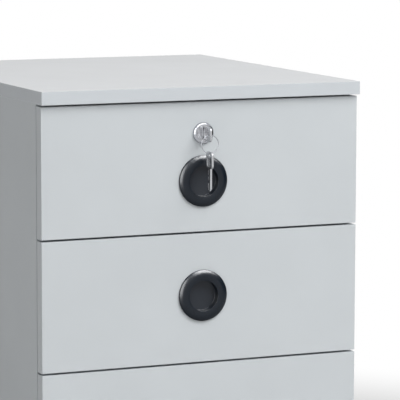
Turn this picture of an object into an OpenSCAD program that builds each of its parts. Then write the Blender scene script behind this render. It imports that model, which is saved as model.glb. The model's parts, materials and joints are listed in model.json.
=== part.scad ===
// Three-drawer office pedestal of faced board, on castors, with round recessed pulls and a cam lock.
// Axes: +X to the right seen from the front, +Y to the back, +Z up. The floor is z = 0.

/* [Boards] */
// Width of the top, from side to side
top_w = 416; // [400:1:460]
// Depth of the top, from its front edge to its back edge
top_d = 494; // [490:1:600]
// Thickness of the top, sides, bottom, back and drawer fronts
board_t = 16; // [16:1:19]
// Radius of the edging along the visible corners of a board
edging_r = 0.5; // [0.5:0.25:2]
// How far the top reaches past each side panel
top_side_lip = 1; // [0:0.5:4]
// How far the top reaches in front of the drawer faces
top_front_lip = 6; // [2:0.5:12]
// How far the top reaches past the back panel
top_back_lip = 1; // [0:0.5:10]

/* [Drawer fronts] */
// Number of drawers
drawer_count = 3; // [3:1:3]
// Height of one drawer front
front_h = 157.5; // [150:0.5:180]
// Gap between two drawer fronts
front_gap = 2.5; // [2:0.5:4]
// Gap between the top and the first drawer front
top_gap = 2.5; // [2:0.5:5]
// Gap between the back of a front and the side panels
buffer_gap = 2; // [1:0.5:4]
// How far the side panels reach under the lowest front
base_reveal = 4; // [0:1:10]

/* [Drawer boxes] */
// Thickness of the sides and back of a drawer box
box_t = 12; // [12:1:16]
// Height of a drawer box
box_h = 100; // [90:1:110]
// Height of a box above the lower edge of its front
box_rise = 20; // [14:1:24]
// Length of the box sides and of the runners
box_l = 450; // [430:5:450]
// Thickness of the drawer bottom
sheet_t = 3; // [3:0.5:5]
// Height of the drawer bottom above the lower edge of the box
sheet_rise = 10; // [8:1:14]
// Depth of the grooves that hold the drawer bottom
groove_d = 6; // [4:0.5:7]

/* [Runners] */
// Space taken by a runner beside the drawer box
runner_t = 12.7; // [12.7:0.1:13.5]
// Height of the cabinet member of a runner
runner_h = 45.6; // [44:0.2:46]
// Thickness of the runner's steel
runner_steel = 1.2; // [1:0.1:1.4]
// Height of a runner's centre line above the lower edge of its front
runner_rise = 62; // [58:1:70]

/* [Pull] */
// Outer radius of the round pull
pull_r = 31.3; // [30:0.1:33]
// How far the crest of the pull stands out of the drawer front
pull_crest = 5; // [4:0.1:7]
// Radius of the crest of the pull
crest_r = 23.8; // [23:0.1:25]
// Radius of the finger recess at its lip
recess_r = 18.7; // [17:0.1:19]
// Depth of the recess floor under the face of the drawer front
recess_floor = 4.9; // [2:0.1:5]
// Distance of each pull's centre under the upper edge of its front, from the top drawer down
pull_drops = [96, 75.8, 79]; // [66:0.1:104]

/* [Lock] */
// Height of the lock under the upper edge of the first front
lock_drop = 38; // [36:0.5:42]
// Radius of the rose
rose_r = 13.1; // [12.5:0.1:14]
// How far the rose stands out of the drawer front
rose_h = 4; // [3:0.25:5]
// Radius of the round face of the plug
plug_face_r = 9.3; // [9:0.1:9.6]
// Radius of the plug's barrel
plug_r = 7; // [6.5:0.1:7.5]
// Radius of the housing behind the rose
housing_r = 9.5; // [9.3:0.1:9.8]
// Reach of the cam from the lock's axis
cam_reach = 34; // [32:0.5:35]

/* [Keys] */
// Length of a key's bow
bow_l = 20.5; // [18:0.5:22]
// Width of a key's bow
bow_w = 17.5; // [16:0.5:19]
// Thickness of a key
key_t = 2.4; // [2:0.1:2.4]
// Length of a key's blade
blade_l = 27; // [24:0.5:27]
// Width of a key's blade
blade_w = 7; // [6:0.1:7]
// Radius of the ring's middle line
ring_r = 11; // [10.5:0.25:13]
// Radius of the ring's wire
wire_r = 0.55; // [0.45:0.05:0.7]

/* [Castors] */
// Height from the floor to the underside of the carcass
castor_h = 70; // [70:1:75]
// Radius of a castor's wheel
wheel_r = 25; // [22:0.5:25]
// Width of a castor's wheel
wheel_w = 18; // [14:0.5:18]
// Distance of the axle behind the swivel axis
trail = 20; // [16:0.5:22]
// Distance of a castor's swivel axis from the carcass sides
castor_inset = 52; // [50:1:70]

/* [Hidden] */
$fn = 64;
eps = 0.01;
carcass_w = top_w - 2 * top_side_lip;
inner_w = carcass_w - 2 * board_t;
side_h = top_gap + drawer_count * front_h + (drawer_count - 1) * front_gap + base_reveal;
side_top = castor_h + side_h;
side_front = board_t + buffer_gap;
carcass_back = top_d - top_front_lip - top_back_lip;
side_d = carcass_back - side_front;
back_face = carcass_back - board_t;
bottom_top = castor_h + board_t;
box_w = inner_w - 2 * runner_t;

function front_top(n) = side_top - top_gap - (n - 1) * (front_h + front_gap);
function front_low(n) = front_top(n) - front_h;
function pull_z(n) = front_top(n) - pull_drops[n - 1];
function box_low(n) = front_low(n) + box_rise;
function runner_z(n) = front_low(n) + runner_rise;
function arc(cx, cy, rx, ry, from, to, steps) =
    [for (i = [0:steps]) let (a = from + (to - from) * i / steps) [cx + rx * cos(a), cy + ry * sin(a)]];

// The lock and the keys, measured from the plane of the drawer faces
lock_z = front_top(1) - lock_drop;
plug_back = 27;
cam_t = 2;
bow_gap = 1;
bow_start = -(rose_h + bow_gap);
bow_end = bow_start - bow_l;
hole_to_end = 4;
key_hole_r = 2.5;
hole_y = bow_end + hole_to_end;
ring_drop = 0.7;
wire_gap = 0.2;
ring_z = lock_z - ring_drop - ring_r;
spare_hole_z = ring_z - ring_r - (key_hole_r - wire_r - wire_gap);
key_reach = -hole_y + bow_w / 2;

// The drawer faces lie this far in front of the origin, which is the middle of the whole outline
face_y = (key_reach - (top_d - top_front_lip)) / 2;

// Cam fittings: middle of the housing's board at the joint, and the turn that takes +Z into the mating
// board and +Y out of the face that the housing is set in
fitting_drill = 34;
dowel_step = 32;
fitting_places = [
    for (side = [-1, 1]) each [
        for (y = [side_front + 60, carcass_back - 100])
            [[side * (carcass_w - board_t) / 2, y, side_top], [0, 0, side * 90]],
        for (y = [side_front + 150, carcass_back - 150])
            [[side * inner_w / 2, y, castor_h + board_t / 2], [-90, 0, -side * 90]],
        for (z = [bottom_top + 90, side_top - 100])
            [[side * inner_w / 2, carcass_back - board_t / 2, z], [180, -side * 90, 0]]
    ]
];
castor_places = [for (y = [side_front + castor_inset, carcass_back - castor_inset])
    for (x = [-1, 1]) [x * (carcass_w / 2 - castor_inset), y]];
runner_screw_steps = [35, 195, 355];
member_screw_shift = 25;
front_fitting_steps = [28, 78];
strike_front = plug_back - 2.5;
strike_t = 1.5;
strike_w = 40;
strike_d = 26;
strike_drop = 14;
strike_screw_inset = 9;

// Screws: radius and length of the shank, radius and height of the head, width of the cross recess
runner_screw = [1.75, 13, 3, 1.4, 0.8];
member_screw = [1.75, 10, 3, 1.4, 0.8];
joint_screw = [2, 33, 3.6, 1.6, 0.8];
strike_screw = [1.75, 14, 3.5, 1.6, 0.8];
castor_screw = [2, 14, 4.2, 2, 1];
cam_bolt = [2, 5, 5.5, 2.6, 1.2];

// ---- shared forms

// Places children whose y is measured from the drawer faces
module from_face() translate([0, face_y, 0]) children();

module mirrored_x() {
    children();
    mirror([1, 0, 0]) children();
}

// A rectangle from [0, 0] to [w, h] with round corners
module round_rect(w, h, r) {
    translate([r, 0]) square([w - 2 * r, h]);
    translate([0, r]) square([w, h - 2 * r]);
    for (x = [r, w - r], y = [r, h - r]) translate([x, y]) circle(r);
}

// A board from [0, 0, 0] with its four long faces' corners eased by the edging, lying flat
module flat_board(w, d, t) {
    intersection() {
        rotate([90, 0, 90]) linear_extrude(w) round_rect(d, t, edging_r);
        translate([0, d, 0]) rotate([90, 0, 0]) linear_extrude(d) round_rect(w, t, edging_r);
    }
}

// A board that stands on its lower edge, with its thickness along y
module standing_board(w, t, h) {
    translate([0, t, 0]) rotate([90, 0, 0]) flat_board(w, h, t);
}

// Round bar along +Y from y0 to y1
module bar_y(r, y0, y1) translate([0, y0, 0]) rotate([-90, 0, 0]) cylinder(r = r, h = y1 - y0);

// Round bar along +X from x0 to x1
module bar_x(r, x0, x1) translate([x0, 0, 0]) rotate([0, 90, 0]) cylinder(r = r, h = x1 - x0);

// Screw along -Z, its head's underside at z = 0
module screw(size) {
    head_r = size[2];
    head_h = size[3];
    recess_w = size[4];
    difference() {
        union() {
            translate([0, 0, eps - size[1]]) cylinder(r = size[0], h = size[1]);
            cylinder(r1 = head_r, r2 = head_r * 0.8, h = head_h);
        }
        for (a = [0, 90]) rotate(a)
            translate([-head_r * 0.55, -recess_w / 2, head_h * 0.4]) cube([head_r * 1.1, recess_w, head_h]);
    }
}

// What is drilled for a screw's shank
module screw_hole(size) translate([0, 0, -size[1]]) cylinder(r = size[0], h = size[1] + eps);

// ---- cam fittings and dowels

housing_r_cam = 7.5;
housing_slot = [8, 1.6, 2];
fitting_bolt_r = 3.5;
fitting_neck_r = 2.5;
fitting_head_l = 3;
fitting_neck_l = 6;
fitting_tip_l = 11;
dowel_r = 4;
dowel_in_edge = 20;
dowel_in_face = 10;

module at_fittings() {
    for (place = fitting_places) translate(place[0]) rotate(place[1]) children();
}

// Where a drawer's sides meet its front: +Z into the front, +Y out of the inner face of the side
module at_front_fittings(n) {
    mirrored_x() for (z = front_fitting_steps)
        translate([(box_t - box_w) / 2, board_t, box_low(n) + z]) rotate([90, 0, 0]) rotate(-90) children();
}

// How deep the housing is set into a board of thickness t
function housing_l(t) = t - 2.5;

module fitting_housing(t) {
    translate([0, t / 2, -fitting_drill]) rotate([90, 0, 0]) difference() {
        cylinder(r = housing_r_cam, h = housing_l(t));
        for (a = [45, 135]) rotate(a) translate([-housing_slot[0] / 2, -housing_slot[1] / 2, -eps])
            cube(housing_slot);
        translate([0, 0, t / 2]) rotate([-90, 0, 0]) cylinder(r = fitting_bolt_r, h = housing_r_cam + 1);
    }
}

module fitting_bolt() {
    head_z = 2 - fitting_drill;
    shank_z = head_z + fitting_head_l + fitting_neck_l;
    translate([0, 0, head_z]) cylinder(r = fitting_bolt_r - 0.1, h = fitting_head_l);
    translate([0, 0, head_z]) cylinder(r = fitting_neck_r, h = shank_z - head_z + eps);
    translate([0, 0, shank_z]) cylinder(r = fitting_bolt_r - 0.1, h = -shank_z);
    cylinder(r = fitting_neck_r, h = fitting_tip_l);
}

module dowel() {
    translate([dowel_step, 0, -dowel_in_edge]) cylinder(r = dowel_r, h = dowel_in_edge + dowel_in_face);
}

// All that is drilled for a fitting, in a board of thickness t at its edge and in the board that it meets
module fitting_drilling(t) {
    translate([0, t / 2 + eps, -fitting_drill]) rotate([90, 0, 0])
        cylinder(r = housing_r_cam, h = housing_l(t) + eps);
    translate([0, 0, -fitting_drill]) cylinder(r = fitting_bolt_r, h = fitting_drill);
    translate([0, 0, -eps]) cylinder(r = fitting_neck_r + 0.02, h = fitting_tip_l + 0.1);
}

module carcass_drilling() at_fittings() {
    fitting_drilling(board_t);
    dowel();
}

// ---- carcass

module at_strike_screws() {
    for (x = [-12, 12])
        translate([x, strike_front + strike_d - strike_screw_inset, side_top - strike_t])
            rotate([180, 0, 0]) children();
}

module top_panel() color("#d8dadc") from_face() difference() {
    translate([-top_w / 2, -top_front_lip, side_top]) flat_board(top_w, top_d, board_t);
    carcass_drilling();
    at_strike_screws() screw_hole(strike_screw);
}

// A side panel, on the left for side = -1 and on the right for side = 1
module side_panel(side) color("#c9cdd0") from_face() difference() {
    translate([side * (carcass_w - board_t) / 2 - board_t / 2, side_front, castor_h])
        linear_extrude(side_h) round_rect(board_t, side_d, edging_r);
    carcass_drilling();
    mirrored_x() for (n = [1:drawer_count]) at_cabinet_screws(n) screw_hole(runner_screw);
}

module bottom_panel() color("#c9cdd0") from_face() difference() {
    translate([-inner_w / 2, side_front, castor_h]) cube([inner_w, side_d - board_t, board_t]);
    carcass_drilling();
    at_castor_screws() screw_hole(castor_screw);
}

module back_panel() color("#c9cdd0") from_face() difference() {
    translate([-inner_w / 2, back_face, castor_h]) cube([inner_w, board_t, side_h]);
    carcass_drilling();
}

module panel_dowels() color("#c8a878") from_face() at_fittings() dowel();
module cam_fitting_housings() color("#b5b7ba") from_face() at_fittings() fitting_housing(board_t);
module cam_fitting_bolts() color("#9fa2a6") from_face() at_fittings() fitting_bolt();

// Angle under the top that the lock's cam turns behind
module lock_strike_plate() color("#c0c3c7") from_face() difference() {
    union() {
        translate([-strike_w / 2, strike_front, side_top - strike_t]) cube([strike_w, strike_d, strike_t]);
        translate([-strike_w / 2, strike_front, side_top - strike_drop])
            cube([strike_w, strike_t, strike_drop]);
    }
    at_strike_screws() screw_hole(strike_screw);
}

module strike_screws() color("#8f9296") from_face() at_strike_screws() screw(strike_screw);

// ---- runners

// Section of a member, x from the cabinet wall to the drawer side, y from the middle line up: a web, two
// flanges from x0 to x1, and at lip_x, the flanges' free edge, a lip curled in over the balls
module channel(x0, x1, h, web_x, lip_x, lip) {
    translate([web_x, -h / 2]) square([runner_steel, h]);
    for (s = [0, 1]) mirror([0, s]) {
        translate([x0, h / 2 - runner_steel]) square([x1 - x0, runner_steel]);
        translate([lip_x, h / 2 - runner_steel - lip]) square([runner_steel, lip + runner_steel]);
    }
}

ball_d = 2.6;
lip_l = 1.4;
middle_h = runner_h - 2 * (runner_steel + ball_d);
drawer_member_h = middle_h - 2 * (runner_steel + ball_d);
cabinet_edge = 10.2;
middle_web = runner_steel + 1.9;
middle_edge = runner_t - 2;
drawer_edge = middle_web + ball_d;
member_start = side_front + 1.5;
spare_hole_steps = [115, 275];
spare_hole_r = 3.2;
window_steps = [60, 220, 380];
window_r = 5;

module cabinet_section() channel(0, cabinet_edge, runner_h, 0, cabinet_edge - runner_steel, lip_l);
module middle_section()
    channel(middle_web, middle_edge, middle_h, middle_web, middle_edge - runner_steel, lip_l);
module drawer_section()
    channel(drawer_edge, runner_t, drawer_member_h, runner_t - runner_steel, drawer_edge, 0);

// A pair of members of drawer n, cut to length, with its section on the cabinet wall
module runner_pair(n, start, len) {
    mirrored_x() translate([-inner_w / 2, start, runner_z(n)]) rotate([90, 0, 0])
        mirror([0, 0, 1]) linear_extrude(len) children();
}

module at_cabinet_screws(n) {
    for (step = runner_screw_steps)
        translate([-inner_w / 2 + runner_steel, member_start + step, runner_z(n)])
            rotate([0, 90, 0]) children();
}

module at_drawer_screws(n) {
    for (step = runner_screw_steps)
        translate([-box_w / 2 - runner_steel, board_t + step + member_screw_shift, runner_z(n)])
            rotate([0, -90, 0]) children();
}

module cabinet_runners(n) color("#b9bcc0") from_face() difference() {
    runner_pair(n, member_start, box_l) cabinet_section();
    mirrored_x() at_cabinet_screws(n) screw_hole(runner_screw);
    mirrored_x() for (step = spare_hole_steps)
        translate([-inner_w / 2, member_start + step, runner_z(n)]) rotate([0, 90, 0])
            cylinder(r = spare_hole_r, h = 4 * runner_steel, center = true);
}

module cabinet_runner_screws() color("#8f9296") from_face() mirrored_x()
    for (n = [1:drawer_count]) at_cabinet_screws(n) screw(runner_screw);

module middle_runners(n) color("#c3c6c9") from_face() difference() {
    runner_pair(n, member_start, box_l) middle_section();
    mirrored_x() for (step = window_steps)
        translate([-inner_w / 2, member_start + step, runner_z(n)]) rotate([0, 90, 0])
            cylinder(r = window_r, h = runner_t);
}

module drawer_runners(n) color("#b9bcc0") from_face() difference() {
    runner_pair(n, board_t + buffer_gap, box_l - buffer_gap - 4) drawer_section();
    mirrored_x() at_drawer_screws(n) screw_hole(member_screw);
}

// ---- drawers

pull_boss_r = 21;
pull_boss_l = 6.4;
pull_screw_x = 25;
pull_screw_grip = 3.5;
pull_screw = [2, board_t + pull_screw_grip, 4, 2.2, 1];
pull_lip_r = 0.6;
pull_slope = 1.6;
// From its crest the ring is domed down to this slope, and then rounded off to its upright outer wall
pull_rim_slope = 36;
pull_rim_r = 0.8;
pull_dome_r = (pull_r - pull_rim_r * (1 - sin(pull_rim_slope)) - crest_r) / sin(pull_rim_slope);
pull_wall_h = pull_crest - pull_dome_r + (pull_dome_r - pull_rim_r) * cos(pull_rim_slope);

module at_pull_screws(n) {
    for (x = [-1, 1]) translate([x * pull_screw_x, board_t, pull_z(n)]) rotate([-90, 0, 0]) children();
}

// Screws through the sides into the back, with their heads' undersides sunk below the face
module at_joint_screws(n) {
    mirrored_x() for (z = [box_low(n) + 30, box_low(n) + box_h - 20])
        translate([joint_screw[3] - box_w / 2, board_t + box_l - box_t / 2, z])
            rotate([0, -90, 0]) children();
}

module drawer_front(n) color("#cdd1d4") from_face() difference() {
    translate([-carcass_w / 2, 0, front_low(n)]) standing_board(carcass_w, board_t, front_h);
    translate([0, 0, pull_z(n)]) bar_y(pull_boss_r + 0.2, -eps, pull_boss_l + 0.3);
    at_pull_screws(n) translate([0, 0, -board_t - 1]) cylinder(r = pull_screw[0] + 0.25, h = board_t + 2);
    translate([-box_w / 2 + box_t - groove_d, board_t - groove_d, box_low(n) + sheet_rise])
        cube([box_w - 2 * (box_t - groove_d), groove_d + eps, sheet_t]);
    at_front_fittings(n) fitting_drilling(box_t);
    if (n == 1) translate([0, 0, lock_z]) bar_y(housing_r, -eps, board_t + eps);
}

module drawer_sides(n) color("#d4d6d8") from_face() difference() {
    mirrored_x() difference() {
        translate([-box_w / 2, board_t, box_low(n)]) cube([box_t, box_l, box_h]);
        translate([-box_w / 2 + box_t - groove_d, board_t - eps, box_low(n) + sheet_rise])
            cube([groove_d + eps, box_l - box_t + groove_d, sheet_t]);
    }
    at_joint_screws(n) {
        screw_hole(joint_screw);
        cylinder(r = joint_screw[2], h = 2 * joint_screw[3]);
    }
    mirrored_x() at_drawer_screws(n) screw_hole(member_screw);
    at_front_fittings(n) fitting_drilling(box_t);
}

module drawer_back(n) color("#d4d6d8") from_face() difference() {
    translate([-box_w / 2 + box_t, board_t + box_l - box_t, box_low(n)])
        cube([box_w - 2 * box_t, box_t, box_h]);
    translate([-box_w / 2, board_t + box_l - box_t - eps, box_low(n) + sheet_rise])
        cube([box_w, groove_d + eps, sheet_t]);
    at_joint_screws(n) screw_hole(joint_screw);
}

module drawer_bottom(n) color("#d9dadb") from_face()
    translate([-box_w / 2 + box_t - groove_d, board_t - groove_d, box_low(n) + sheet_rise])
        cube([box_w - 2 * (box_t - groove_d), box_l - box_t + 2 * groove_d, sheet_t]);

// Round pull: a raised ring round a finger recess, set into the front
module pull(n) color("#2b2e33") from_face() difference() {
    translate([0, 0, pull_z(n)]) rotate([90, 0, 0]) rotate_extrude($fn = 96) polygon(concat(
        [[0, -recess_floor], [recess_r, -recess_floor]],
        arc(recess_r + pull_lip_r, pull_crest - 2, pull_lip_r, pull_lip_r, 180, 110, 4),
        arc(crest_r, pull_crest - pull_slope, crest_r - recess_r - pull_lip_r, pull_slope, 160, 100, 4),
        arc(crest_r, pull_crest - pull_dome_r, pull_dome_r, pull_dome_r, 90, 90 - pull_rim_slope, 5),
        arc(pull_r - pull_rim_r, pull_wall_h, pull_rim_r, pull_rim_r, (90 - pull_rim_slope) * 2 / 3, 0, 2),
        [[pull_r, 0], [pull_boss_r, 0], [pull_boss_r, -pull_boss_l], [0, -pull_boss_l]]));
    at_pull_screws(n) translate([0, 0, -board_t - pull_screw_grip - eps])
        cylinder(r = pull_screw[0], h = pull_screw_grip + 1);
}

// Every screw of a drawer, and the cam fittings that hold its sides to its front
module drawer_screws(n) color("#8f9296") from_face() {
    at_pull_screws(n) screw(pull_screw);
    mirrored_x() at_drawer_screws(n) screw(member_screw);
    at_joint_screws(n) screw(joint_screw);
    at_front_fittings(n) {
        fitting_housing(box_t);
        fitting_bolt();
    }
}

// ---- lock and keys

module at_lock() translate([0, 0, lock_z]) children();

// Rose and barrel of the housing in one casting, bored for the plug
module lock_housing() color("#d5d8db") from_face() at_lock() difference() {
    rotate([90, 0, 0]) rotate_extrude($fn = 96) polygon(concat(
        [[plug_r + 0.05, -plug_back + 1], [plug_r + 0.05, rose_h - 1.5], [plug_face_r + 0.1, rose_h - 1.5],
        [plug_face_r + 0.1, rose_h]],
        arc(rose_r - 3, rose_h - 3, 3, 3, 80, 0, 6),
        [[rose_r, 0], [housing_r, 0], [housing_r, -plug_back + 1]]));
}

module lock_nut() color("#b9bcc0") from_face() at_lock() difference() {
    translate([0, board_t, 0]) rotate([-90, 0, 0]) cylinder(r = 13.5, h = 3, $fn = 6);
    bar_y(housing_r, 0, board_t + 4);
}

keyway_w = key_t + 0.3;
key_cuts = [1.2, 2.2, 1.6, 2.6, 1.4];
first_cut = 5;
cut_step = 3.6;
panel_start = 8.2;
panel_rim = 2.6;
panel_deep = 0.45;

// Barrel with its round face, a keyway, and a square tail for the cam
module lock_plug() color("#9fa2a6") from_face() at_lock() difference() {
    union() {
        bar_y(plug_face_r, -rose_h, -rose_h + 1.4);
        bar_y(plug_r, -rose_h + 1, plug_back);
        translate([-4, plug_back - eps, -4]) cube([8, cam_t + eps, 8]);
    }
    translate([-keyway_w / 2, -rose_h - eps, -blade_w / 2 - 0.15])
        cube([keyway_w, blade_l, blade_w + 0.3]);
    bar_y(2, plug_back - 3, plug_back + cam_t + eps);
}

// Cam, pointing to the left when the lock is open
module lock_cam() color("#a9acb0") from_face() at_lock()
    translate([0, plug_back + cam_t, 0]) rotate([90, 0, 0]) linear_extrude(cam_t) difference() {
        union() {
            circle(8);
            translate([-cam_reach + 4, -6]) square([cam_reach - 4, 12]);
            translate([-cam_reach, -2]) square([8, 4]);
            for (y = [-2, 2]) translate([-cam_reach + 4, y]) circle(4);
        }
        square(8, center = true);
    }

module cam_screw() color("#8f9296") from_face() at_lock()
    translate([0, plug_back + cam_t, 0]) rotate([-90, 0, 0]) screw(cam_bolt);

// Outline of a key, from the bow's end at x = 0 along +X to the tip; y across, hole included
module key_outline() {
    difference() {
        union() {
            translate([0, -bow_w / 2]) round_rect(bow_l, bow_w, 5);
            translate([bow_l - 4, -blade_w / 2]) square([blade_l + 2, blade_w]);
            polygon([[bow_l + blade_l - 3, -blade_w / 2], [bow_l + blade_l, -0.6], [bow_l + blade_l, 0.8],
                [bow_l + blade_l - 2, blade_w / 2], [bow_l + blade_l - 4, 0]]);
        }
        translate([hole_to_end, 0]) circle(key_hole_r);
        for (i = [0:len(key_cuts) - 1]) let (x = bow_l + first_cut + cut_step * i, deep = key_cuts[i])
            polygon([[x - deep - 0.4, blade_w / 2 + eps], [x - 0.5, blade_w / 2 - deep],
                [x + 0.5, blade_w / 2 - deep], [x + deep + 0.4, blade_w / 2 + eps]]);
    }
}

// A key, flat in XY: the bow has a sunk panel on both faces, the blade a milled groove on each
module key_blank() difference() {
    translate([0, 0, -key_t / 2]) linear_extrude(key_t) key_outline();
    for (s = [0, 1]) mirror([0, 0, s]) {
        translate([panel_start, panel_rim - bow_w / 2, key_t / 2 - panel_deep]) linear_extrude(1)
            round_rect(bow_l - panel_start - panel_rim + 0.4, bow_w - 2 * panel_rim, 2.4);
        translate([bow_l + 1, s ? 0.4 : -1.9, key_t / 2 - 0.7]) cube([blade_l, 1.4, 1]);
    }
}

module lock_key() color("#c6c9cd") from_face() at_lock()
    translate([0, bow_end, 0]) rotate([0, 90, 0]) rotate([0, 0, 90]) key_blank();

module key_ring() color("#c6c9cd") from_face()
    translate([0, hole_y, ring_z]) rotate([90, 0, 0]) rotate_extrude($fn = 72) translate([ring_r, 0])
        circle(wire_r, $fn = 24);

module spare_key() color("#c6c9cd") from_face()
    translate([0, hole_y, spare_hole_z + hole_to_end]) rotate([0, 90, 0]) key_blank();

// ---- castors

plate_size = 60;
plate_corner = 7;
plate_t = 2.5;
plate_hole_r = 2.5;
plate_screw_step = 45;
plate_low = castor_h - plate_t;
crown_t = 2.5;
crown_top = plate_low - 5.5;
crown_low = crown_top - crown_t;
crown_r = 19;
kingpin_r = 5;
pin_head_r = 8;
pin_low = crown_low - 3;
race_gap = 1.2;
race_low = crown_top + race_gap;
race_r = 21.5;
axle_r = 4;
axle_head_r = 7.2;
axle_head_h = 4;
leg_t = 2;
leg_x = wheel_w / 2 + 1.5;
leg_end_r = 9;
leg_flange = 3;
running_gap = 0.05;

module at_castor_screws() {
    for (place = castor_places, x = [-0.5, 0.5], y = [-0.5, 0.5])
        translate([place[0] + x * plate_screw_step, place[1] + y * plate_screw_step, plate_low])
            rotate([180, 0, 0]) children();
}

module at_castor(n) from_face() translate([castor_places[n - 1][0], castor_places[n - 1][1], 0]) children();

// Plate, upper race and kingpin of every castor; the pin's head is riveted under the crown of the fork
module castor_plates() color("#a4a7ab") {
    for (n = [1:4]) at_castor(n) difference() {
        union() {
            translate([-plate_size / 2, -plate_size / 2, plate_low])
                linear_extrude(plate_t) round_rect(plate_size, plate_size, plate_corner);
            rotate_extrude() polygon([[0, plate_low + eps], [0, pin_low], [pin_head_r - 1, pin_low],
                [pin_head_r, pin_low + 1], [pin_head_r, crown_low - 0.4], [kingpin_r, crown_low - 0.4],
                [kingpin_r, race_low], [11, race_low], [14, race_low + 2.2], [race_r - 1, race_low + 2.2],
                [race_r, race_low + 0.4], [race_r + 1.2, race_low + 0.4], [race_r, race_low + 3.4],
                [17, plate_low + eps]]);
        }
        for (x = [-0.5, 0.5], y = [-0.5, 0.5])
            translate([x * plate_screw_step, y * plate_screw_step, castor_h - 2 * plate_t])
                cylinder(r = plate_hole_r, h = 3 * plate_t);
    }
}

module castor_screws() color("#8f9296") from_face() at_castor_screws() screw(castor_screw);

// Outline of a leg from the side, y to the back: as wide as the crown at the top, round about the axle
module leg_outline(inset = 0) hull() {
    translate([inset - 14, crown_low + eps]) square([30 - 2 * inset, crown_t]);
    translate([trail, wheel_r]) circle(leg_end_r - inset, $fn = 32);
}

// Pressed fork: a crown with its ball race, and on each side of the wheel a leg with a turned-out rim
module castor_fork(n) color("#a4a7ab") at_castor(n) difference() {
    union() {
        rotate_extrude() polygon([[0, crown_low], [crown_r, crown_low], [crown_r, crown_top],
            [crown_r - 1, crown_top + 1.6], [crown_r - 4, crown_top + 2.6], [13, crown_top + 1.2],
            [11.5, crown_top], [0, crown_top]]);
        translate([-leg_x - leg_t, -14, crown_low]) cube([2 * (leg_x + leg_t), 30, crown_t]);
        mirrored_x() translate([leg_x, 0, 0]) rotate([90, 0, 90]) {
            linear_extrude(leg_t) leg_outline();
            linear_extrude(leg_flange) difference() {
                leg_outline();
                leg_outline(1.6);
                translate([trail - leg_end_r, 0]) square([4 * leg_end_r, wheel_r]);
            }
        }
    }
    translate([0, 0, pin_low]) cylinder(r = kingpin_r + running_gap, h = castor_h);
    translate([0, trail, wheel_r]) bar_x(axle_r, -leg_x - 2 * leg_flange, leg_x + 2 * leg_flange);
}

// Wheel with a rounded tread, a thin web, a rim and a hub that reaches the fork
module castor_wheel(n) color("#3a3c40") at_castor(n) translate([0, trail, wheel_r]) rotate([0, 90, 0])
    rotate_extrude($fn = 96) let (w = wheel_w / 2, r = wheel_r, hub = w + 1) polygon(concat(
        [[axle_r + running_gap, -hub], [axle_r + 4, -hub], [axle_r + 5, -w + 5], [r - 7, -w + 5],
        [r - 6, -w]],
        arc(r - 3, -w + 3, 3, 3, -90, 0, 5), arc(r - 3, w - 3, 3, 3, 0, 90, 5),
        [[r - 6, w], [r - 7, w - 5], [axle_r + 5, w - 5], [axle_r + 4, hub], [axle_r + running_gap, hub]]));

// Axle bolt with its head on the left and its nut on the right
module castor_axle(n) color("#8f9296") at_castor(n) translate([0, trail, wheel_r]) {
    end_x = leg_x + leg_t;
    bar_x(axle_r, -end_x - eps, end_x + axle_head_h + 1.5);
    for (x = [-end_x - axle_head_h, end_x]) translate([x, 0, 0]) rotate([0, 90, 0])
        cylinder(r = axle_head_r, h = axle_head_h, $fn = 6);
}

top_panel();
side_panel(-1);  // left_side_panel
side_panel(1);  // right_side_panel
bottom_panel();
back_panel();
panel_dowels();
cam_fitting_housings();
cam_fitting_bolts();
lock_strike_plate();
strike_screws();
cabinet_runners(1);  // cabinet_runners_1
cabinet_runners(2);  // cabinet_runners_2
cabinet_runners(3);  // cabinet_runners_3
cabinet_runner_screws();
castor_plates();
castor_screws();
middle_runners(1);  // middle_runners_1
middle_runners(2);  // middle_runners_2
middle_runners(3);  // middle_runners_3
drawer_front(1);  // drawer_front_1
drawer_front(2);  // drawer_front_2
drawer_front(3);  // drawer_front_3
drawer_sides(1);  // drawer_sides_1
drawer_sides(2);  // drawer_sides_2
drawer_sides(3);  // drawer_sides_3
drawer_back(1);  // drawer_back_1
drawer_back(2);  // drawer_back_2
drawer_back(3);  // drawer_back_3
drawer_bottom(1);  // drawer_bottom_1
drawer_bottom(2);  // drawer_bottom_2
drawer_bottom(3);  // drawer_bottom_3
drawer_runners(1);  // drawer_runners_1
drawer_runners(2);  // drawer_runners_2
drawer_runners(3);  // drawer_runners_3
pull(1);  // pull_1
pull(2);  // pull_2
pull(3);  // pull_3
drawer_screws(1);  // drawer_screws_1
drawer_screws(2);  // drawer_screws_2
drawer_screws(3);  // drawer_screws_3
lock_housing();
lock_nut();
lock_plug();
lock_cam();
cam_screw();
lock_key();
key_ring();
spare_key();
castor_fork(1);  // castor_fork_1
castor_fork(2);  // castor_fork_2
castor_fork(3);  // castor_fork_3
castor_fork(4);  // castor_fork_4
castor_wheel(1);  // castor_wheel_1
castor_wheel(2);  // castor_wheel_2
castor_wheel(3);  // castor_wheel_3
castor_wheel(4);  // castor_wheel_4
castor_axle(1);  // castor_axle_1
castor_axle(2);  // castor_axle_2
castor_axle(3);  // castor_axle_3
castor_axle(4);  // castor_axle_4
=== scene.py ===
import json
from math import cos, pi, radians, sin

import bpy
from mathutils import Matrix, Vector


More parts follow.
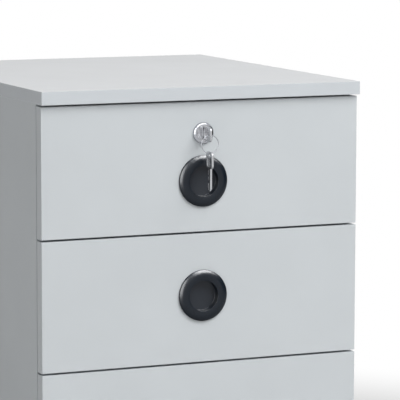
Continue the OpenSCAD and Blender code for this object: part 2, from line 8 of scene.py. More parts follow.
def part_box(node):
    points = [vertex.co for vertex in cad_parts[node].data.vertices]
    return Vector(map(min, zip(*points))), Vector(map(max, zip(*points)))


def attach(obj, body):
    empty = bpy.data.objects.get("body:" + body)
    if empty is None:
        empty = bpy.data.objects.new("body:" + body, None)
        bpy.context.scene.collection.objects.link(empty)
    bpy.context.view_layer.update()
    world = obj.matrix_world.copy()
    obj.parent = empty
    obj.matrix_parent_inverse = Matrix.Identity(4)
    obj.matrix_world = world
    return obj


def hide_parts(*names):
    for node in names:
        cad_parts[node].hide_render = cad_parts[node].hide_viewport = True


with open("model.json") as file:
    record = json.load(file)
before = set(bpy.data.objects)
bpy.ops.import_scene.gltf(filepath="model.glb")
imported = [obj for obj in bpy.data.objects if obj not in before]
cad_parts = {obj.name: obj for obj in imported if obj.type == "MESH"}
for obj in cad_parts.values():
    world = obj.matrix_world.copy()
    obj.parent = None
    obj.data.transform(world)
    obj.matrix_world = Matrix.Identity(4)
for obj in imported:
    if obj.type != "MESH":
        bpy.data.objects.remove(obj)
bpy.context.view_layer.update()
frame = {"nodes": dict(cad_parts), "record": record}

MM = 0.001
DRAWERS = (1, 2, 3)
CASTORS = (1, 2, 3, 4)

for leftover in ("Camera", "Cube", "Light"):
    if leftover in bpy.data.objects:
        bpy.data.objects.remove(bpy.data.objects[leftover])


# ---- places, worked out from the frame

def middle(node):
    """The middle of a CAD node's box."""
    low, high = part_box(node)
    return (low + high) / 2


face_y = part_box("drawer_front_1")[0].y
lock_axis = middle("lock_nut")


# ---- nodes of the materials, the stage and the world

# The sockets of a Mix node that mixes colours
MIX_FACTOR = 0
MIX_FIRST = 6
MIX_SECOND = 7
MIX_RESULT = 2


def linear(hex_colour):
    """An sRGB hex colour as the linear colour that a socket takes."""
    channels = [int(hex_colour[i:i + 2], 16) / 255 for i in (1, 3, 5)]
    return [c / 12.92 if c <= 0.04045 else ((c + 0.055) / 1.055) ** 2.4 for c in channels] + [1.0]


def add_node(owner, kind, inputs=(), **settings):
    """Adds a node to a material or world, with its settings, and its inputs by name or number: a value, or an
    output to link."""
    node = owner.node_tree.nodes.new(kind)
    for name, value in settings.items():
        setattr(node, name, value)
    for name, value in dict(inputs).items():
        if isinstance(value, bpy.types.NodeSocket):
            owner.node_tree.links.new(value, node.inputs[name])
        else:
            node.inputs[name].default_value = value
    return node


def maths(owner, operation, *values):
    """The result of a maths operation on numbers or outputs."""
    return add_node(owner, "ShaderNodeMath", enumerate(values), operation=operation).outputs[0]


def new_material(name):
    """An empty node material."""
    material = bpy.data.materials.new(name)
    material.use_nodes = True
    material.node_tree.nodes.clear()
    return material


def set_surface(material, shader):
    """Links a shader's result to the material's output."""
    add_node(material, "ShaderNodeOutputMaterial", {"Surface": shader.outputs[0]})
    return material


def skin(material, colour, roughness, normal, **others):
    """Gives a material its surface: colour, roughness and bump, and other inputs by name."""
    return set_surface(material, add_node(material, "ShaderNodeBsdfPrincipled", {
        "Base Color": colour, "Roughness": roughness, "Normal": normal, **others}))


def coordinates(material, kind):
    """Texture coordinates of a kind, in metres."""
    return add_node(material, "ShaderNodeTexCoord").outputs[kind]


def object_point(material, stretch=(1, 1, 1)):
    """Object coordinates in millimetres, multiplied by a stretch: a low number draws a pattern out."""
    return add_node(material, "ShaderNodeMapping", {
        "Vector": coordinates(material, "Object"), "Scale": [s / MM for s in stretch]}).outputs[0]


def noise(material, point, grain_mm, detail=2.0, roughness=0.5):
    """Noise whose lumps are about grain_mm across, on a point in millimetres."""
    return add_node(material, "ShaderNodeTexNoise", {
        "Vector": point, "Scale": 1 / grain_mm, "Detail": detail, "Roughness": roughness}).outputs[0]


def spread(material, value, low, high, low_in=0.3, high_in=0.7):
    """A value spread from the range that most noise fills, or from another, to a range from low to high."""
    return add_node(material, "ShaderNodeMapRange", {
        "Value": value, "From Min": low_in, "From Max": high_in, "To Min": low, "To Max": high}).outputs[0]


def between(material, factor, first, second):
    """A colour between two, by a factor."""
    return add_node(material, "ShaderNodeMix", {MIX_FACTOR: factor, MIX_FIRST: first, MIX_SECOND: second},
                    data_type="RGBA").outputs[MIX_RESULT]


def bump(material, height, depth_mm, strength):
    """The bump that a height from 0 to 1 makes at a depth in millimetres."""
    return add_node(material, "ShaderNodeBump", {
        "Height": height, "Distance": depth_mm * MM, "Strength": strength}).outputs[0]


def seen_directly(owner):
    """1 for what the camera or a glossy surface sees, and 0 for the light that falls on things."""
    path = add_node(owner, "ShaderNodeLightPath")
    return maths(owner, "MAXIMUM", path.outputs["Is Camera Ray"], path.outputs["Is Glossy Ray"])


# ---- materials

PEARL_MM = 0.7
BOARD_CLOUD_MM = 90.0
# The fourth powers of a normal's parts add up to 1 on a flat side and to less on rounded edging; the one's
# roughness gives way to the other's between these sums
EDGING_FLATNESS = (0.85, 0.99)
EDGING_ROUGHNESS = 0.18
# What the flat sides add to the edging's roughness
PEARL_ROUGHNESS = (0.26, 0.38)
# How upright the normal of a board laid flat is where its edging's colour gives way to its own paler colour:
# partly edging of another colour, partly painted light on the flat faces
TOP_LIGHT_NORMAL = (0.4, 0.8)
# The depths behind the fronts' faces between which the pulls' polish gives way to their grained floor, which
# is also painted paler as a painted reflection
FLOOR_BLEND_MM = (3.4, 4.4)
PULL_ROUGHNESS = (0.26, 0.32)
# What the grained floor adds to the pull's roughness
FLOOR_ROUGHNESS = 0.06
# How the marks of a metal run
EVEN = (1, 1, 1)
ALONG_Y = (1, 0.03, 1)
ALONG_Z = (1, 1, 0.08)


def melamine(name, colour, shade, edging=None):
    """Paper in melamine resin pressed on chipboard: one even colour under a fine pearl texture, so that a
    highlight on it is broad, soft and a little grainy. The rounded edging is smoother, and takes a thin
    glint. A board that lies flat can have edging of another colour; its flat faces then keep their own
    paler colour, which is partly painted light from above."""
    material = new_material(name)
    point = object_point(material)
    pearl = noise(material, point, PEARL_MM, detail=3.0)
    cloud = noise(material, point, BOARD_CLOUD_MM)
    tint = between(material, spread(material, cloud, 0.0, 1.0), linear(colour), linear(shade))
    facing = coordinates(material, "Normal")
    if edging:
        upward = add_node(material, "ShaderNodeSeparateXYZ", {0: facing}).outputs["Z"]
        # Painted light: the board's flat faces keep a paler colour than its edging, partly standing in for
        # light from above
        painted_top_light = spread(material, maths(material, "ABSOLUTE", upward), 0.0, 1.0, *TOP_LIGHT_NORMAL)
        tint = between(material, painted_top_light, linear(edging), tint)
    squares = add_node(material, "ShaderNodeVectorMath", {0: facing, 1: facing},
                       operation="MULTIPLY").outputs[0]
    flatness = add_node(material, "ShaderNodeVectorMath", {0: squares, 1: squares},
                        operation="DOT_PRODUCT").outputs["Value"]
    roughness = maths(material, "MULTIPLY_ADD", spread(material, flatness, 0.0, 1.0, *EDGING_FLATNESS),
                      spread(material, pearl, *PEARL_ROUGHNESS), EDGING_ROUGHNESS)
    return skin(material, tint, roughness, bump(material, pearl, depth_mm=0.05, strength=0.35), IOR=1.45)


def hardboard(name, colour, fleck):
    """Wood fibre pressed into a thin sheet and lacquered: pale, matt, with fine flecks of fibre."""
    material = new_material(name)
    fibre = noise(material, object_point(material, (1, 0.25, 1)), grain_mm=0.8, detail=4.0, roughness=0.7)
    flecks = spread(material, fibre, 0.0, 1.0, low_in=0.58, high_in=0.72)
    tint = between(material, flecks, linear(colour), linear(fleck))
    return skin(material, tint, spread(material, fibre, 0.55, 0.7),
                bump(material, fibre, depth_mm=0.06, strength=0.5))


def beech_dowel(name, light, dark):
    """Fluted beech rod, unfinished: warm tan with short darker rays along the grain."""
    material = new_material(name)
    grain = noise(material, object_point(material, (1, 1, 0.12)), grain_mm=0.7, detail=4.0)
    tint = between(material, spread(material, grain, 0.0, 1.0), linear(light), linear(dark))
    return skin(material, tint, spread(material, grain, 0.6, 0.75),
                bump(material, grain, depth_mm=0.08, strength=0.6))


def bare_metal(name, colours, roughness, stretch, grain_mm, depth_mm):
    """Plated or polished metal: a metal's reflection, spread by a surface whose marks run as they were made,
    with a slow change between two colours."""
    material = new_material(name)
    marks = noise(material, object_point(material, stretch), grain_mm, detail=3.0)
    patches = noise(material, object_point(material), grain_mm=9.0)
    tint = between(material, spread(material, patches, 0.0, 0.5), linear(colours[0]), linear(colours[1]))
    return skin(material, tint, spread(material, marks, *roughness),
                bump(material, marks, depth_mm, strength=0.5), Metallic=1.0)


def pull_plastic():
    """Black ABS of the pulls: the ring is polished, with a soft broad glint, and the recess floor has the
    fine grain of its mould, which makes it matt. The floor is also painted a little paler, a painted
    reflection."""
    material = new_material("black_abs")
    depth = add_node(material, "ShaderNodeSeparateXYZ", {0: coordinates(material, "Object")}).outputs["Y"]
    floor_grain_and_sheen = spread(material, depth, 0.0, 1.0, *[face_y + blend * MM for blend in FLOOR_BLEND_MM])
    grain = noise(material, object_point(material), grain_mm=0.35, detail=3.0)
    # Painted reflection: the recess floor takes a paler colour than the ring, standing in for the light that
    # its grain catches
    tint = between(material, floor_grain_and_sheen, linear("#04101c"), linear("#1c222b"))
    roughness = maths(material, "MULTIPLY_ADD", floor_grain_and_sheen, FLOOR_ROUGHNESS,
                      spread(material, grain, *PULL_ROUGHNESS))
    return skin(material, tint, roughness, bump(material, grain, depth_mm=0.01, strength=0.4), IOR=1.35)


def moulded(name, colours, roughness, grain_mm, depth_mm):
    """Injection-moulded plastic: coloured all through, with the fine spark-eroded grain of its mould."""
    material = new_material(name)
    point = object_point(material)
    erosion = noise(material, point, grain_mm, detail=3.0)
    cloud = noise(material, point, grain_mm=12.0)
    tint = between(material, spread(material, cloud, 0.0, 1.0), linear(colours[0]), linear(colours[1]))
    return skin(material, tint, spread(material, erosion, *roughness),
                bump(material, erosion, depth_mm, strength=0.4), IOR=1.5)


# Metals and moulded plastic: name, two colours, range of roughness, how the marks run (metals only), and the
# marks' width and depth in millimetres
finishes = {
    # The worktop's flat faces are paler than its edging: partly painted light from above
    "top_board": melamine("melamine_worktop", "#d7d9db", "#d4d6d8", edging="#ced3d7"),
    "carcass_board": melamine("melamine_carcass", "#cfd4d7", "#ccd1d4"),
    "front_board": melamine("melamine_front", "#cfd4d7", "#ccd1d4"),
    "box_board": melamine("melamine_drawer_box", "#d8dadb", "#d4d6d7"),
    "bottom_sheet": hardboard("lacquered_hardboard", "#dcdcda", "#c4c3bd"),
    "beech": beech_dowel("fluted_beech", "#c9a878", "#ad8757"),
    "zinc_alloy": bare_metal("die_cast_zinc", ("#b4b5b4", "#9fa0a0"), (0.38, 0.52), EVEN, 0.5, 0.03),
    "zinc_steel": bare_metal("bright_zinc_plate", ("#c2c5c8", "#aeb2b7"), (0.24, 0.38), EVEN, 1.2, 0.01),
    "runner_steel": bare_metal("galvanised_strip", ("#c0c3c5", "#aaaeb1"), (0.3, 0.46), ALONG_Y, 0.5, 0.01),
    "black_plastic": pull_plastic(),
    "lock_chrome": bare_metal("polished_chrome", ("#b3b5ba", "#a5a8ae"), (0.06, 0.12), EVEN, 2.0, 0.004),
    "plug_nickel": bare_metal("satin_nickel", ("#bdbec1", "#b5b6b9"), (0.2, 0.26), EVEN, 0.3, 0.004),
    "key_nickel": bare_metal("nickel_silver", ("#c4c5c8", "#b5b7ba"), (0.2, 0.3), ALONG_Z, 0.25, 0.008),
    "ring_steel": bare_metal("nickelled_wire", ("#b2b4b9", "#9c9fa5"), (0.05, 0.08), EVEN, 0.4, 0.004),
    "castor_steel": bare_metal("zinc_plated_pressing", ("#bcbfc2", "#a6aaae"), (0.28, 0.42), EVEN, 1.5, 0.01),
    "wheel_plastic": moulded("grey_polyamide", ("#303236", "#37393d"), (0.4, 0.52), 0.5, 0.03),
}

for part in frame["record"]["subparts"]:
    frame["nodes"][part["node"]].material_slots[0].material = finishes[part["material_slot"]]


# ---- modelling by hand: lengths in millimetres, slopes in degrees
#
# Names end in _R for a radius, _T for a thickness, and _H, _L and _W for a height, length and width. _Y, and
# _START and _END in the lock, are depths behind the face of the drawer fronts.

DOUBLES = 0.001
ALONG_Z_WITHIN = 0.01
EASE_SEGMENTS = 2
LATHE_SIDES = 128


def begin(name, add, **settings):
    """Adds a primitive, its lengths in millimetres, as the start of a piece, and opens it for editing."""
    for length in ("radius", "depth", "size"):
        if length in settings:
            settings[length] *= MM
    if "location" in settings:
        settings["location"] = [part * MM for part in settings["location"]]
    bpy.ops.object.select_all(action="DESELECT")
    add(**settings)
    piece = bpy.context.object
    piece.name = name
    bpy.ops.object.mode_set(mode="EDIT")
    bpy.ops.mesh.select_mode(type="VERT")
    return piece


def select(piece, mode, test):
    """Selects the vertices or edges of a piece, open for editing, whose ends in millimetres pass a test."""
    bpy.ops.mesh.select_mode(type=mode)
    bpy.ops.mesh.select_all(action="DESELECT")
    bpy.ops.object.mode_set(mode="OBJECT")
    vertices = piece.data.vertices
    for part in vertices if mode == "VERT" else piece.data.edges:
        ends = [part.index] if mode == "VERT" else part.vertices
        part.select = test(*[piece.matrix_world @ vertices[end].co / MM for end in ends])
    bpy.ops.object.mode_set(mode="EDIT")


def close(piece):
    """Ends the editing of a piece: doubles merged, faces outwards, its place in its mesh."""
    bpy.ops.mesh.select_all(action="SELECT")
    bpy.ops.mesh.remove_doubles(threshold=DOUBLES * MM)
    bpy.ops.mesh.normals_make_consistent(inside=False)
    bpy.ops.object.mode_set(mode="OBJECT")
    bpy.ops.object.transform_apply(location=True, rotation=True, scale=True)
    return piece


def only(piece):
    """Makes a piece the one selected and active object."""
    bpy.ops.object.select_all(action="DESELECT")
    piece.select_set(True)
    bpy.context.view_layer.objects.active = piece


def modified(piece, kind, **settings):
    """Adds a modifier to a piece and applies it."""
    only(piece)
    modifier = piece.modifiers.new(kind.lower(), kind)
    for name, value in settings.items():
        setattr(modifier, name, value)
    bpy.ops.object.modifier_apply(modifier=modifier.name)


def cut(piece, tool):
    """Cuts a tool's shape out of a piece."""
    modified(piece, "BOOLEAN", operation="DIFFERENCE", solver="EXACT", object=tool)
    bpy.data.objects.remove(tool)


def fuse(piece, other):
    """Fuses another shape to a piece."""
    modified(piece, "BOOLEAN", operation="UNION", solver="EXACT", object=other)
    bpy.data.objects.remove(other)


def soften(piece, width, angle):
    """Eases every edge of a piece that is sharper than an angle, by a width in millimetres."""
    modified(piece, "BEVEL", width=width * MM, segments=EASE_SEGMENTS, limit_method="ANGLE",
             angle_limit=radians(angle))


def put(piece, place=(0, 0, 0), turn=(0, 0, 0)):
    """Turns a piece about the origin and moves it, and leaves its object at the origin."""
    only(piece)
    piece.rotation_euler = turn
    piece.location = place
    bpy.ops.object.transform_apply(location=True, rotation=True, scale=True)


def copied(piece, name):
    """A copy of a piece with its own mesh."""
    twin = piece.copy()
    twin.data = piece.data.copy()
    twin.name = name
    bpy.context.scene.collection.objects.link(twin)
    return twin


def dress(piece, slot, body, *nodes, smooth):
    """Gives a finished piece smooth shading up to an angle, its finish, its body and the CAD nodes that it
    stands for."""
    only(piece)
    bpy.ops.object.shade_smooth_by_angle(angle=radians(smooth))
    piece.data.materials.clear()
    piece.data.materials.append(finishes[slot])
    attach(piece, body)
    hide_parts(*nodes)


def arc(centre, radius, start, end, steps):
    """Points on an arc, as (radius, y) in millimetres, from one angle to another in degrees."""
    turns = [radians(start + (end - start) * i / steps) for i in range(steps + 1)]
    return [(centre[0] + radius * cos(a), centre[1] - radius * sin(a)) for a in turns]


def turned(name, profile, sides=LATHE_SIDES):
    """A shape turned about the y axis, as on a lathe: a ring is drawn out and scaled along a profile of
    (radius, y) points in millimetres. A profile that comes back to its start leaves the middle open, and the
    ends of any other are capped."""
    pierced = profile[0] == profile[-1]
    (radius, y), *rest = profile
    piece = begin(name, bpy.ops.mesh.primitive_circle_add, vertices=sides, radius=radius,
                  fill_type="NOTHING" if pierced else "NGON", location=(0, y, 0), rotation=(pi / 2, 0, 0))
    bpy.ops.mesh.select_mode(type="EDGE")
    for next_radius, next_y in rest:
        bpy.ops.mesh.extrude_edges_move(TRANSFORM_OT_translate={"value": (0, (next_y - y) * MM, 0)})
        ratio = next_radius / radius
        bpy.ops.transform.resize(value=(ratio, 1, ratio), center_override=(0, next_y * MM, 0))
        radius, y = next_radius, next_y
    if not pierced:
        bpy.ops.mesh.edge_face_add()
    return close(piece)


def block(name, low, high):
    """A block between two corners in millimetres, open for editing."""
    centre = [(a + b) / 2 for a, b in zip(low, high)]
    halves = [(b - a) / 2 for a, b in zip(low, high)]
    return begin(name, bpy.ops.mesh.primitive_cube_add, size=2, location=centre, scale=halves)


def upright(a, b):
    """True for an edge along z."""
    return abs(a.x - b.x) < ALONG_Z_WITHIN and abs(a.y - b.y) < ALONG_Z_WITHIN


def rounded_block(name, low, high, corner, segments, chosen=upright):
    """A block whose upright edges, or the chosen ones of them, are rounded, or chamfered for one segment."""
    piece = block(name, low, high)
    select(piece, "EDGE", chosen)
    bpy.ops.mesh.bevel(offset=corner * MM, segments=segments, affect="EDGES")
    return close(piece)


# ---- pulls

PULL_R = 31.3
CREST_R = 23.8
CREST_H = 5.0
CREST_STEPS = 12
RECESS_R = 18.7
RIM_SLOPE = 36
RIM_R = 0.8
LIP_SLOPE = 11
LIP_R = 0.15
EDGE_STEPS = 7
FLOOR_Y = 4.9
FLOOR_FILLET = 0.25
FILLET_STEPS = 5
BOSS_R = 21.0
BOSS_Y = 6.4


def shoulder(way, edge_r, slope, rounding):
    """Half of the pull's ring, outwards from its crest for way = 1 and inwards for way = -1: domed down to a
    slope, and then rounded off to an upright wall at edge_r."""
    dome_r = (abs(edge_r - CREST_R) - rounding * (1 - sin(radians(slope)))) / sin(radians(slope))
    wall_h = CREST_H - dome_r + (dome_r - rounding) * cos(radians(slope))
    turn = 90 - way * slope
    dome = arc((CREST_R, dome_r - CREST_H), dome_r, 90, turn, CREST_STEPS)
    edge = arc((edge_r - way * rounding, -wall_h), rounding, turn, 90 - way * 90, EDGE_STEPS)
    return dome + edge[1:]


def make_pulls():
    """Round pull: a swelling ring about a finger recess, on a boss let into the drawer front."""
    fillet = (RECESS_R - FLOOR_FILLET, FLOOR_Y - FLOOR_FILLET)
    profile = [(RECESS_R - FLOOR_FILLET, FLOOR_Y)] + arc(fillet, FLOOR_FILLET, -90, 0, FILLET_STEPS)[1:]
    profile += shoulder(-1, RECESS_R, LIP_SLOPE, LIP_R)[::-1] + shoulder(1, PULL_R, RIM_SLOPE, RIM_R)[1:]
    profile += [(PULL_R, 0), (BOSS_R, 0), (BOSS_R, BOSS_Y)]
    pull = turned("round_pull", profile)
    for n in DRAWERS:
        twin = copied(pull, f"round_pull_{n}")
        centre = middle(f"pull_{n}")
        put(twin, (centre.x, face_y, centre.z))
        dress(twin, "black_plastic", f"drawer_{n}", f"pull_{n}", smooth=40)
    bpy.data.objects.remove(pull)


# ---- lock

ROSE_H = 4.0
ROSE_FLAT_R = 10.2
# The rose's dome, from its flat outwards: the radius of each bend, and the slope that it ends with
ROSE_BENDS = ((2.67, 22), (4.7, 44), (1.3, 90))
BEND_STEPS = 5
SEAT_DEEP = 1.5
SEAT_PLAY = 0.08
BARREL_R = 9.5
BARREL_END = 26.0
BARREL_CHAMFER = 0.5
THREAD_START = 15.0
THREAD_STEP = 1.0
THREAD_DEEP = 0.55
THREAD_TURNS = 11
PLUG_FACE_R = 9.9
PLUG_FACE_T = 1.4
PLUG_FACE_CHAMFER = 0.1
PLUG_R = 7.0
PLUG_PLAY = 0.05
PLUG_END = 27.0
PLUG_EASE = 0.15
TAIL_HALF = 4.0
TAIL_ROOT = 1.0
CAM_T = 2.0
KEYWAY_W = 2.5
KEYWAY_H = 7.3
KEYWAY_DEEP = 27.0
CLEAR = 1.0


def bends(start, stretches):
    """Points (radius, y) along arcs that follow each other smoothly, outwards and down from a flat start."""
    radius, y = start
    slope = 0
    points = []
    for bend_r, end_slope in stretches:
        centre = (radius - bend_r * sin(radians(slope)), y + bend_r * cos(radians(slope)))
        points += arc(centre, bend_r, 90 - slope, 90 - end_slope, BEND_STEPS)[1:]
        radius, y = points[-1]
        slope = end_slope
    return points


def make_lock():
    """Cam lock: a domed chrome rose and threaded barrel in one casting, and a plug with its keyway."""
    place = (lock_axis.x, face_y, lock_axis.z)
    bore_r = PLUG_R + PLUG_PLAY
    seat_r = PLUG_FACE_R + SEAT_PLAY
    seat_y = SEAT_DEEP - ROSE_H
    flat_edge = (ROSE_FLAT_R, -ROSE_H)
    profile = [(bore_r, BARREL_END), (bore_r, seat_y), (seat_r, seat_y), (seat_r, -ROSE_H), flat_edge]
    profile += bends(flat_edge, ROSE_BENDS)
    profile += [(profile[-1][0], 0), (BARREL_R, 0)]
    for i in range(THREAD_TURNS):
        crest_y = THREAD_START + i * THREAD_STEP
        profile += [(BARREL_R, crest_y), (BARREL_R - THREAD_DEEP, crest_y + THREAD_STEP / 2)]
    profile += [(BARREL_R, BARREL_END - BARREL_CHAMFER), (BARREL_R - BARREL_CHAMFER, BARREL_END), profile[0]]
    housing = turned("lock_rose_and_barrel", profile)
    put(housing, place)
    dress(housing, "lock_chrome", "drawer_1", "lock_housing", smooth=30)

    neck_y = PLUG_FACE_T - ROSE_H
    plug = turned("lock_plug_with_keyway", [
        (PLUG_FACE_R - PLUG_FACE_CHAMFER, -ROSE_H), (PLUG_FACE_R, PLUG_FACE_CHAMFER - ROSE_H),
        (PLUG_FACE_R, neck_y), (PLUG_R, neck_y), (PLUG_R, PLUG_END)])
    fuse(plug, close(block("tail", (-TAIL_HALF, PLUG_END - TAIL_ROOT, -TAIL_HALF),
                           (TAIL_HALF, PLUG_END + CAM_T, TAIL_HALF))))
    cut(plug, close(block("keyway", (-KEYWAY_W / 2, -ROSE_H - CLEAR, -KEYWAY_H / 2),
                          (KEYWAY_W / 2, KEYWAY_DEEP - ROSE_H, KEYWAY_H / 2))))
    soften(plug, PLUG_EASE, angle=50)
    put(plug, place)
    dress(plug, "plug_nickel", "lock_plug", "lock_plug", smooth=30)


# ---- keys and their ring

KEY_T = 2.4
KEY_EASE = 0.14
BOW_L = 20.5
BOW_W = 17.5
BOW_CORNER = 5.0
BOW_SEGMENTS = 8
BLADE_L = 27.0
BLADE_W = 7.0
BLADE_ROOT = 4.0
TIP_CHAMFER = 2.6
HOLE_PLACE = 4.0
HOLE_R = 2.5
HOLE_SIDES = 40
PANEL_START = 8.2
PANEL_RIM = 2.6
PANEL_NECK_RIM = 2.2
PANEL_DEEP = 0.3
PANEL_CORNER = 2.4
PANEL_SEGMENTS = 6
# The lower side of the groove on each face
GROOVE_LOW = {-1: 0.4, 1: -1.9}
GROOVE_W = 1.4
GROOVE_DEEP = 0.7
KEY_CUTS = (1.2, 2.2, 1.6, 2.6, 1.4)
FIRST_CUT = 5.0
CUT_STEP = 3.6
CUT_HALF = 0.5
CUT_FLARE = 0.9
CUT_CLEAR = 0.5
RING_R = 11.0
# The wire's width and height after it is flattened
RING_WIRE = (0.8, 0.46)
WIRE_SIDES = 14
RING_TURNS = 1.96
RING_LIFT = 0.5
RING_STEPS = 140
RING_TURN = 0.6


def make_key():
    """A stamped key, flat in xy from its bow's end at the origin along x: rounded bow with a ring hole and a
    sunk panel on each face, blade with a milled groove on each face and five cuts."""
    key = rounded_block("key", (0, -BOW_W / 2, -KEY_T / 2), (BOW_L, BOW_W / 2, KEY_T / 2), BOW_CORNER,
                        BOW_SEGMENTS)
    fuse(key, rounded_block("blade", (BOW_L - BLADE_ROOT, -BLADE_W / 2, -KEY_T / 2),
                            (BOW_L + BLADE_L, BLADE_W / 2, KEY_T / 2), TIP_CHAMFER, 1,
                            chosen=lambda a, b: upright(a, b) and a.x > BOW_L))
    cut(key, close(begin("hole", bpy.ops.mesh.primitive_cylinder_add, vertices=HOLE_SIDES, radius=HOLE_R,
                         depth=3 * KEY_T, location=(HOLE_PLACE, 0, 0))))
    for side in (-1, 1):
        low, high = sorted((side * (KEY_T / 2 - PANEL_DEEP), side * KEY_T))
        cut(key, rounded_block("panel", (PANEL_START, PANEL_RIM - BOW_W / 2, low),
                               (BOW_L - PANEL_NECK_RIM, BOW_W / 2 - PANEL_RIM, high), PANEL_CORNER,
                               PANEL_SEGMENTS))
        low, high = sorted((side * (KEY_T / 2 - GROOVE_DEEP), side * KEY_T))
        cut(key, close(block("groove", (BOW_L + CLEAR, GROOVE_LOW[side], low),
                             (BOW_L + BLADE_L + CLEAR, GROOVE_LOW[side] + GROOVE_W, high))))
    for i, deep in enumerate(KEY_CUTS):
        x = BOW_L + FIRST_CUT + CUT_STEP * i
        notch = block("notch", (x - CUT_HALF, BLADE_W / 2 - deep, -KEY_T),
                      (x + CUT_HALF, BLADE_W / 2 + CUT_CLEAR, KEY_T))
        select(notch, "VERT", lambda point: point.y > BLADE_W / 2)
        flare = 1 + (deep + CUT_FLARE) / CUT_HALF
        bpy.ops.transform.resize(value=(flare, 1, 1), center_override=(x * MM, 0, 0))
        cut(key, close(notch))
    soften(key, KEY_EASE, angle=35)
    return key


def make_keys():
    """One key in the plug, and its spare, which hangs from the ring through both bows."""
    key = make_key()
    spare = copied(key, "spare_key_blank")
    key.name = "lock_key_blank"
    put(key, turn=(0, 0, pi / 2))
    put(key, (0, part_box("lock_key")[0].y, lock_axis.z), (0, pi / 2, 0))
    dress(key, "key_nickel", "lock_key", "lock_key", smooth=30)
    put(spare, (0, middle("spare_key").y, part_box("spare_key")[1].z), (0, pi / 2, 0))
    dress(spare, "key_nickel", "spare_key", "spare_key", smooth=30)


def make_ring():
    """Split ring: flat wire wound in nearly two turns."""
    rise = RING_LIFT * RING_TURNS * MM
    ring = begin("split_ring", bpy.ops.mesh.primitive_circle_add, vertices=WIRE_SIDES, radius=0.5)
    bpy.ops.mesh.select_all(action="SELECT")
    bpy.ops.transform.resize(value=(*RING_WIRE, 1))
    bpy.ops.transform.translate(value=(RING_R * MM, -rise / 2, 0))
    bpy.ops.object.mode_set(mode="OBJECT")
    modified(ring, "SCREW", axis="Y", angle=2 * pi * RING_TURNS, screw_offset=rise, steps=RING_STEPS,
             render_steps=RING_STEPS)
    bpy.ops.object.mode_set(mode="EDIT")
    bpy.ops.mesh.select_all(action="SELECT")
    bpy.ops.mesh.fill_holes(sides=0)
    close(ring)
    put(ring, middle("key_ring"), (0, RING_TURN, 0))
    dress(ring, "ring_steel", "key_ring", "key_ring", smooth=40)


# ---- castor wheels

WHEEL_R = 25.0
WHEEL_HALF = 9.0
WHEEL_SIDES = 96
TREAD_R = 3.0
TREAD_STEPS = 6
TYRE_T = 6.0
TYRE_STEP = 0.3
SEAM = 0.5
DISC_HALF = 4.2
RIM_HALF = 7.6
RIM_T = 2.2
RIM_DRAFT = 0.4
RIM_CHAMFER_R = 0.3
RIM_CHAMFER_Y = 0.5
HUB_R = 8.2
HUB_HALF = 10.0
HUB_CHAMFER = 0.6
HUB_DRAFT = 0.7
BORE_R = 4.05
RIBS = 8
RIB_HALF_T = 0.8
RIB_ROOT = 1.0
RIB_SUNK = 1.2
RIB_IN_HUB = 0.5
RIB_IN_RIM = 0.6


def make_wheels():
    """Moulded wheel: a tyre with rounded shoulders and a moulding seam round its middle, a stepped rim, a
    disc with ribs on both faces, and a hub that reaches the fork's legs."""
    tyre_in = WHEEL_R - TYRE_T
    rim_in = tyre_in - RIM_T
    near = [(BORE_R, -HUB_HALF), (HUB_R - HUB_CHAMFER, -HUB_HALF), (HUB_R, HUB_CHAMFER - HUB_HALF),
            (HUB_R + HUB_DRAFT, -DISC_HALF), (rim_in, -DISC_HALF), (rim_in + RIM_DRAFT, -RIM_HALF),
            (tyre_in - RIM_CHAMFER_R, -RIM_HALF), (tyre_in, RIM_CHAMFER_Y - RIM_HALF),
            (tyre_in + TYRE_STEP, -WHEEL_HALF)]
    near += arc((WHEEL_R - TREAD_R, TREAD_R - WHEEL_HALF), TREAD_R, 90, 0, TREAD_STEPS)
    near += [(WHEEL_R, -SEAM / 2)]
    far = [(radius, -y) for radius, y in reversed(near)]
    wheel = turned("castor_wheel_blank", near + [(WHEEL_R - SEAM / 2, 0)] + far + near[:1], WHEEL_SIDES)
    for side in (-1, 1):
        low, high = sorted((side * (DISC_HALF - RIB_ROOT), side * (RIM_HALF - RIB_SUNK)))
        for i in range(RIBS):
            rib = close(block("rib", (HUB_R - RIB_IN_HUB, low, -RIB_HALF_T),
                              (rim_in + RIB_IN_RIM, high, RIB_HALF_T)))
            put(rib, turn=(0, 2 * pi * i / RIBS, 0))
            fuse(wheel, rib)
    put(wheel, turn=(0, 0, pi / 2))
    for n in CASTORS:
        twin = copied(wheel, f"moulded_wheel_{n}")
        put(twin, middle(f"castor_wheel_{n}"))
        dress(twin, "wheel_plastic", f"castor_wheel_{n}", f"castor_wheel_{n}", smooth=40)
    bpy.data.objects.remove(wheel)


make_pulls()
make_lock()
make_keys()
make_ring()
make_wheels()


# ---- camera: the photograph's own, from where its board edges run

CAMERA_PLACE = Vector((-1.2463, -3.0923, 0.8331))
CAMERA_YAW = 23.46
CAMERA_PITCH = 7.315
CAMERA_ROLL = 0.123
LENS_MM = 234.7
SENSOR_MM = 36

yaw = radians(CAMERA_YAW)
pitch = radians(CAMERA_PITCH)
roll = radians(CAMERA_ROLL)
ahead = Vector((sin(yaw) * cos(pitch), cos(yaw) * cos(pitch), -sin(pitch)))
level = Vector((cos(yaw), -sin(yaw), 0))
plumb = level.cross(ahead)
right = cos(roll) * level + sin(roll) * plumb
up = cos(roll) * plumb - sin(roll) * level

camera = bpy.data.objects.new("camera", bpy.data.cameras.new("camera"))
camera.data.lens = LENS_MM
camera.data.sensor_width = SENSOR_MM
camera.matrix_world = Matrix((
    (right.x, up.x, -ahead.x, CAMERA_PLACE.x),
    (right.y, up.y, -ahead.y, CAMERA_PLACE.y),
    (right.z, up.z, -ahead.z, CAMERA_PLACE.z),
    (0, 0, 0, 1)))
bpy.context.scene.collection.objects.link(camera)
bpy.context.scene.camera = camera


# ---- studio

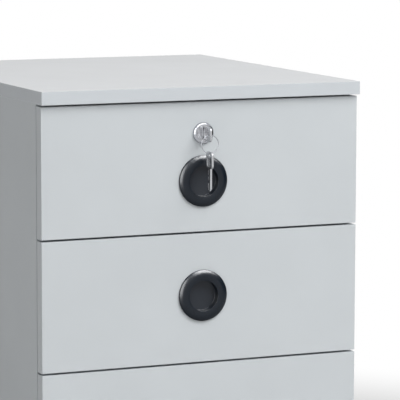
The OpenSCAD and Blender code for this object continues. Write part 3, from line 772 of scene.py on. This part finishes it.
AMBIENT = 0.15
WHITE = (1, 1, 1, 1)
STUDIO_AIM = Vector((0, -0.2, 0.4))
FLAG_SIZE = 2.2
FLAG_PLACE = (2.0, -1.1, 0.2)
FLAG_TURN = (pi / 2, 0, radians(60))
FLOOR_SIZE = 6.0
# How far from the middle the floor starts to fade, and is plain white
FLOOR_FADE = (0.55, 1.05)
PULLS = [f"round_pull_{n}" for n in DRAWERS]
BRIGHT_METAL = ["lock_rose_and_barrel", "lock_plug_with_keyway", "lock_key_blank", "spare_key_blank",
                "split_ring"]

bpy.context.scene.view_settings.view_transform = "Standard"


def light_background():
    """A pale world: plain white to the camera and in reflections, dimmer as a light."""
    world = bpy.data.worlds.new("studio")
    world.use_nodes = True
    world.node_tree.nodes.clear()
    strength = spread(world, seen_directly(world), AMBIENT, 1.0, 0.0, 1.0)
    back = add_node(world, "ShaderNodeBackground", {"Color": WHITE, "Strength": strength})
    add_node(world, "ShaderNodeOutputWorld", {"Surface": back.outputs[0]})
    bpy.context.scene.world = world


def soft_box(name, direction, distance, width, height, watts, shown_by=()):
    """A rectangular soft light that points at the object from a direction, its lengths in metres. It either
    lights the object, or is a bright card that only shows in the gloss of the pieces named."""
    lamp = bpy.data.objects.new(name, bpy.data.lights.new(name, "AREA"))
    lamp.data.shape = "RECTANGLE"
    lamp.data.size = width
    lamp.data.size_y = height
    lamp.data.energy = watts
    lamp.location = STUDIO_AIM + Vector(direction).normalized() * distance
    lamp.rotation_euler = (STUDIO_AIM - lamp.location).to_track_quat("-Z", "Y").to_euler()
    lamp.visible_camera = False
    lamp.visible_diffuse = not shown_by
    lamp.visible_glossy = bool(shown_by)
    bpy.context.scene.collection.objects.link(lamp)
    if shown_by:
        lamp.light_linking.receiver_collection = bpy.data.collections.new(name)
        for piece in shown_by:
            lamp.light_linking.receiver_collection.objects.link(bpy.data.objects[piece])


def plane(name, material, size, **place):
    """A plane of the stage, in its material."""
    bpy.ops.object.select_all(action="DESELECT")
    bpy.ops.mesh.primitive_plane_add(size=size, **place)
    card = bpy.context.object
    card.name = name
    card.data.materials.append(material)
    return card


def dark_flag():
    """A black card at the right that only shows in glossy parts, and gives them their dark side."""
    material = new_material("black_card")
    set_surface(material, add_node(material, "ShaderNodeBsdfDiffuse", {"Color": linear("#0a0a0a")}))
    flag = plane("flag", material, FLAG_SIZE, location=FLAG_PLACE, rotation=FLAG_TURN)
    flag.visible_camera = False
    flag.visible_diffuse = False
    flag.visible_shadow = False


def pale_floor():
    """A pale floor that holds the object's shadow and turns to plain white a metre away; from below it is
    not there, so that the castors can be seen."""
    material = new_material("pale_floor")
    distance = add_node(material, "ShaderNodeVectorMath", {0: coordinates(material, "Object")},
                        operation="LENGTH").outputs["Value"]
    fade = add_node(material, "ShaderNodeMapRange", {
        "Value": distance, "From Min": FLOOR_FADE[0], "From Max": FLOOR_FADE[1]},
        interpolation_type="SMOOTHSTEP").outputs[0]
    share = maths(material, "MULTIPLY", fade, seen_directly(material))
    board = add_node(material, "ShaderNodeBsdfDiffuse", {"Color": linear("#dcdcdc")})
    white = add_node(material, "ShaderNodeEmission", {"Color": WHITE, "Strength": 1.0})
    shaded = add_node(material, "ShaderNodeMixShader", {0: share, 1: board.outputs[0], 2: white.outputs[0]})
    below = add_node(material, "ShaderNodeNewGeometry").outputs["Backfacing"]
    clear = add_node(material, "ShaderNodeBsdfTransparent")
    set_surface(material, add_node(material, "ShaderNodeMixShader", {
        0: below, 1: shaded.outputs[0], 2: clear.outputs[0]}))
    floor = plane("floor", material, FLOOR_SIZE)


light_background()
# Direction from the object, distance, width, height and watts
soft_box("key_light", (0.33, -0.58, 0.748), 4.5, 3.6, 3.6, 215)
soft_box("left_light", (-0.72, -0.62, 0.31), 2.8, 2.4, 2.4, 9)
soft_box("back_light", (0.05, 0.98, 0.17), 3.5, 2.4, 2.4, 31)
soft_box("key_card", (0.394, -0.56, 0.74), 2.8, 2.2, 1.7, 370, shown_by=PULLS)
soft_box("top_card", (0.25, -0.25, 1.0), 2.6, 1.4, 2.0, 160, shown_by=PULLS)
soft_box("left_card", (-0.66, -0.70, 0.2), 2.8, 2.2, 2.4, 265, shown_by=PULLS)
soft_box("key_gleam", (0.1, -0.66, 0.72), 2.8, 3.2, 1.7, 37, shown_by=BRIGHT_METAL)
soft_box("left_gleam", (-0.74, -0.63, 0.2), 2.8, 2.0, 2.4, 40, shown_by=BRIGHT_METAL)
dark_flag()
pale_floor()
